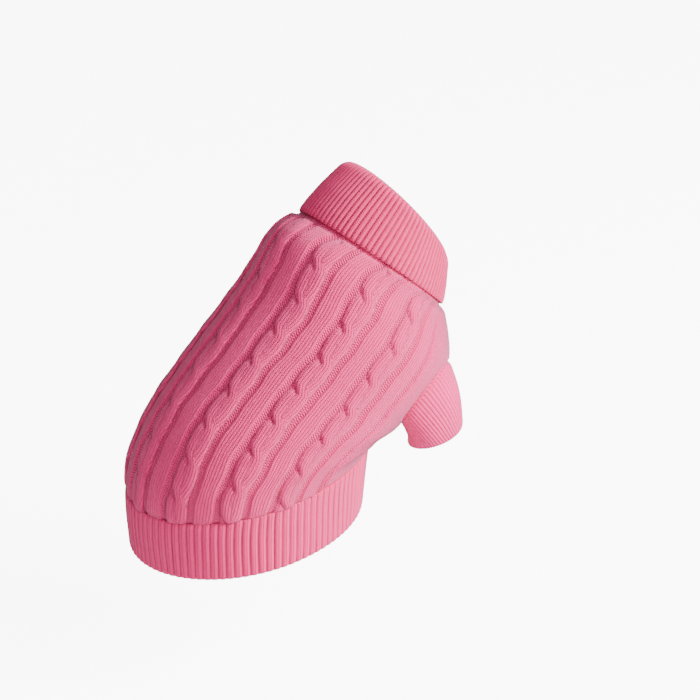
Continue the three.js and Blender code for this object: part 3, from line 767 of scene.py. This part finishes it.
def makeHemBand():
    form = hemBand
    place, level, ribShare = profileRows(form["stations"], form["height"], form["rows"])
    shares = place * hemShare
    turn = np.arange(form["ribs"] * form["columnsPerRib"]) / (form["ribs"] * form["columnsPerRib"])
    girth = aroundTable(shares)[:, -1:]
    along = 2 * girth * turn[None, :]
    around = np.where(along <= girth, along, along - 2 * girth)
    wander = 0.1 * np.sin(2 * np.pi * turn * 7)[None, :] * np.sin(place * 3)[:, None]
    x = turn[None, :] * form["ribs"] + wander
    out = level[:, None] + ribShare[:, None] * form["ribDepth"] * ribShape(x)
    points = torsoPoint(shares, around, out)
    wales = np.linspace(0, form["ribs"], len(turn) + 1) * 2 + 0.5
    knit = ringKnit(wales, place, form["height"], form["row"])
    valley = ribValley(x, len(place))
    # the rib valleys are purl stitches, and painted shade darkens them
    masks = {"purl": valley * 0.7, "creaseShade": valley * 0.9}
    return ringPiece("hemBand", points, knit, masks, ribKnit)


hemPiece = makeHemBand()
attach(hemPiece, "root")
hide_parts("hem_band")

collarKnit = {
    "columnsPerRib": 9,
    "rows": 108,
    "height": 33,
    "row": 1.0,
    "stations": [
        # share of the collar's height from its lower edge, level, depth of the ribs
        (0.0, -2.0, 0.5),
        (0.012, -1.3, 0.9),
        (0.06, -0.7, 1.0),
        (0.2, -0.1, 1.0),
        (0.5, 0.35, 1.0),
        (0.9, 0.1, 1.0),
        (0.97, -0.6, 1.0),
        (1.01, -1.7, 1.0),
        (1.025, -2.7, 1.0),
        (1.01, -3.8, 0.6),
        (0.97, -4.8, 0.2),
        (0.9, -5.2, -0.4),
        (0.6, -5.3, -0.6),
        (0.314, -5.3, -0.4),
        (0.314, -3.1, 0.0),
        (0.6, -3.1, 0.0),
        (0.86, -3.0, 0.0),
        (0.86, -2.5, 0.0),
        (0.5, -2.45, 0.0),
        (0.1, -2.45, 0.0),
        (0.01, -2.7, 0.0),
    ],
}


def makeCollar():
    form = collarKnit
    place, level, ribShare = profileRows(form["stations"], form["height"], form["rows"])
    ribs = collarForm["ribs"]
    turn = np.arange(ribs * form["columnsPerRib"]) / (ribs * form["columnsPerRib"])
    wander = 0.18 * np.sin(2 * np.pi * turn * 3 + 1)[None, :] * np.sin(place * 2.4)[:, None]
    x = turn[None, :] * ribs + wander
    outer = smoothStep(level, -2.4, -1.0)[:, None]
    sag = 0.35 * np.sin(2 * np.pi * turn * 2 + 0.6) + 0.2 * np.sin(2 * np.pi * turn * 5 + 2)
    out = level[:, None] + ribShare[:, None] * collarForm["ribDepth"] * ribShape(x) + sag[None, :] * outer
    points = ringPoint(collarRing(place[:, None]), 2 * np.pi * turn[None, :], out)
    knit = ringKnit(np.linspace(0, ribs, len(turn) + 1), place, form["height"], form["row"])
    valley = ribValley(x, len(place))
    # the rib valleys are purl stitches, and painted shade darkens them
    masks = {"purl": valley * 0.7, "creaseShade": valley * 0.9}
    return ringPiece("foldedCollar", points, knit, masks, shadedCollarRibKnit)


collarPiece = makeCollar()
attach(collarPiece, "root")
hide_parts("collar")

sleeveForm = {
    "ribs": 60,
    "columnsPerRib": 8,
    "ribDepth": 0.5,
    "cuffRadius": 16.2,
    "bulge": 0.6,
    "puff": 2.2,
    "sunk": 1.5,  # how far its top edge lies in the armhole
    "x": 18,
    "side": 40,
    "z": -93,
    "axis": (0.32, 0.1, -0.94),
    "rows": 70,
    "length": 30,
    "row": 1.0,
    "stations": [
        # share of the way from the armhole to the cuff, level, depth of the ribs
        (0.0, -0.5, 0.0),
        (0.03, -0.35, 0.1),
        (0.07, -0.1, 0.7),
        (0.5, 0.0, 1.0),
        (0.93, 0.0, 1.0),
        (0.98, -0.2, 1.0),
        (1.0, -0.9, 0.6),
        (1.0, -2.0, 0.0),
        (0.97, -2.6, -0.3),
        (0.5, -2.7, -0.4),
        (0.03, -2.7, -0.2),
        (0.0, -2.5, 0.0),
    ],
}


def armholePlaces(count):
    # evenly spaced by length round the ellipse, from its hemward end over the back side
    angles = neckwardAngle - np.pi + np.linspace(0, 2 * np.pi, 721)
    share, around = armholeEdge(angles)
    steps = np.hypot(np.diff(share) * armhole["mmPerShare"], np.diff(around))
    lengths = np.concatenate([[0], np.cumsum(steps)])
    at = np.linspace(0, lengths[-1], count + 1)[:-1]
    return armholeEdge(np.interp(at, lengths, angles))


def makeSleeve(name, side):
    form = sleeveForm
    place, level, ribShare = profileRows(form["stations"], form["length"], form["rows"])
    count = form["ribs"] * form["columnsPerRib"]
    turn = np.arange(count) / count
    share, around = armholePlaces(count)
    edgeAround = (-side * around)[:, None]
    top = torsoPoint(share, edgeAround, np.full((count, 1), -0.5))[:, 0]
    away = torsoNormal(share, angleAt(share, edgeAround))[:, 0]
    axis = np.array([form["axis"][0], side * form["axis"][1], form["axis"][2]])
    axis = axis / np.linalg.norm(axis)
    backwards = np.array([-1.0, 0, 0]) + axis[0] * axis
    backwards = backwards / np.linalg.norm(backwards)
    outwards = np.cross(axis, backwards) * side
    spread = np.cos(2 * np.pi * turn)[:, None] * backwards + np.sin(2 * np.pi * turn)[:, None] * outwards
    bottom = np.array([form["x"], side * form["side"], form["z"]]) + spread * form["cuffRadius"]
    swell = np.sin(np.pi * place)[:, None, None]
    x = turn[None, :] * form["ribs"]
    out = level[:, None] + ribShare[:, None] * form["ribDepth"] * ribShape(x)
    way = place[:, None, None]
    centre = top[None] * (1 - way) + bottom[None] * way
    sunk = form["sunk"] * np.exp(-((place * form["length"] / 1.5) ** 2))[:, None, None]
    lifted = (form["puff"] * swell - sunk) * away[None]
    points = centre + lifted + (form["bulge"] * swell + out[..., None]) * spread[None]
    wales = np.linspace(0, form["ribs"], count + 1)
    knit = ringKnit(wales, place, form["length"], form["row"])
    valley = ribValley(x, len(place))
    # the rib valleys and the armhole seam are purl stitches; painted shade darkens the valleys and the seam
    seam = np.exp(-((place * form["length"] / 1.1) ** 2))[:, None] * (level > -0.9)[:, None]
    masks = {"purl": np.maximum(valley * 0.5, seam), "creaseShade": np.maximum(valley * 0.35, 0.5 * seam)}
    return ringPiece(name, points, knit, masks, sleeveKnit)


sleevePieces = {}
for name, node, side in (("sleeveRight", "sleeve_right", -1), ("sleeveLeft", "sleeve_left", 1)):
    sleevePieces[name] = makeSleeve(name, side)
    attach(sleevePieces[name], "root")
    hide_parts(node)

print("knit pieces made")

# floor, light and camera

studio = {
    "floorZ": -0.216,
    "floorReach": 40.0,
    "floorColour": (0.93, 0.93, 0.93),
    "world": 0.36,
    "floorGlow": 8.0,
    "key": {"place": (1.05, -1.05, 0.95), "size": 0.7, "power": 100},
    "fill": {"place": (0.0, -1.5, 1.3), "size": 1.2, "power": 22},
    "rim": {"place": (0.2, 1.3, 1.0), "size": 1.0, "power": 5},
}

floorMesh = bpy.data.meshes.new("floor")
reach = studio["floorReach"]
corners = ((-reach, -reach), (reach, -reach), (reach, reach), (-reach, reach))
floorCorners = [(x, y, studio["floorZ"]) for x, y in corners]
floorMesh.from_pydata(floorCorners, [], [(0, 1, 2, 3)])
floor = bpy.data.objects.new("floor", floorMesh)
bpy.context.scene.collection.objects.link(floor)
floorMaterial = bpy.data.materials.new("paleFloor")
floorMaterial.use_nodes = True
floorShader = floorMaterial.node_tree.nodes["Principled BSDF"]
floorShader.inputs["Base Color"].default_value = (*studio["floorColour"], 1)
floorShader.inputs["Roughness"].default_value = 0.9
glow = addNode(floorMaterial.node_tree, "ShaderNodeLightPath")  # the floor looks white, and lights nothing
cameraRay = glow.outputs["Is Camera Ray"]
glowStrength = mathNode(floorMaterial.node_tree, "MULTIPLY", cameraRay, studio["floorGlow"])
floorShader.inputs["Emission Color"].default_value = (1, 1, 1, 1)
floorMaterial.node_tree.links.new(glowStrength, floorShader.inputs["Emission Strength"])
floorMesh.materials.append(floorMaterial)

world = bpy.data.worlds.new("studio")
world.use_nodes = True
world.node_tree.nodes["Background"].inputs["Color"].default_value = (1, 1, 1, 1)
world.node_tree.nodes["Background"].inputs["Strength"].default_value = studio["world"]
bpy.context.scene.world = world

aim = Vector((-0.04, 0, -0.07))
for name in ("key", "fill", "rim"):
    light = bpy.data.lights.new(name, "AREA")
    light.energy = studio[name]["power"]
    light.size = studio[name]["size"]
    lamp = bpy.data.objects.new(name, light)
    lamp.location = studio[name]["place"]
    lamp.rotation_euler = (aim - lamp.location).to_track_quat("-Z", "Y").to_euler()
    bpy.context.scene.collection.objects.link(lamp)

cameraView = {
    "azimuth": -30,
    "elevation": 23,
    "target": (-0.03, 0, -0.075),
    "distance": 1.4,
    "lens": 131.0,
    "shift": (0.0387, 0.0651),
}
azimuth, elevation = np.radians(cameraView["azimuth"]), np.radians(cameraView["elevation"])
towards = Vector(
    (np.sin(azimuth) * np.cos(elevation), -np.cos(azimuth) * np.cos(elevation), np.sin(elevation))
)
cameraData = bpy.data.cameras.new("camera")
cameraData.lens = cameraView["lens"]
cameraData.sensor_width = 36
cameraData.shift_x, cameraData.shift_y = cameraView["shift"]
camera = bpy.data.objects.new("camera", cameraData)
camera.location = Vector(cameraView["target"]) + towards * cameraView["distance"]
camera.rotation_euler = towards.to_track_quat("Z", "Y").to_euler()
bpy.context.scene.collection.objects.link(camera)
bpy.context.scene.camera = camera
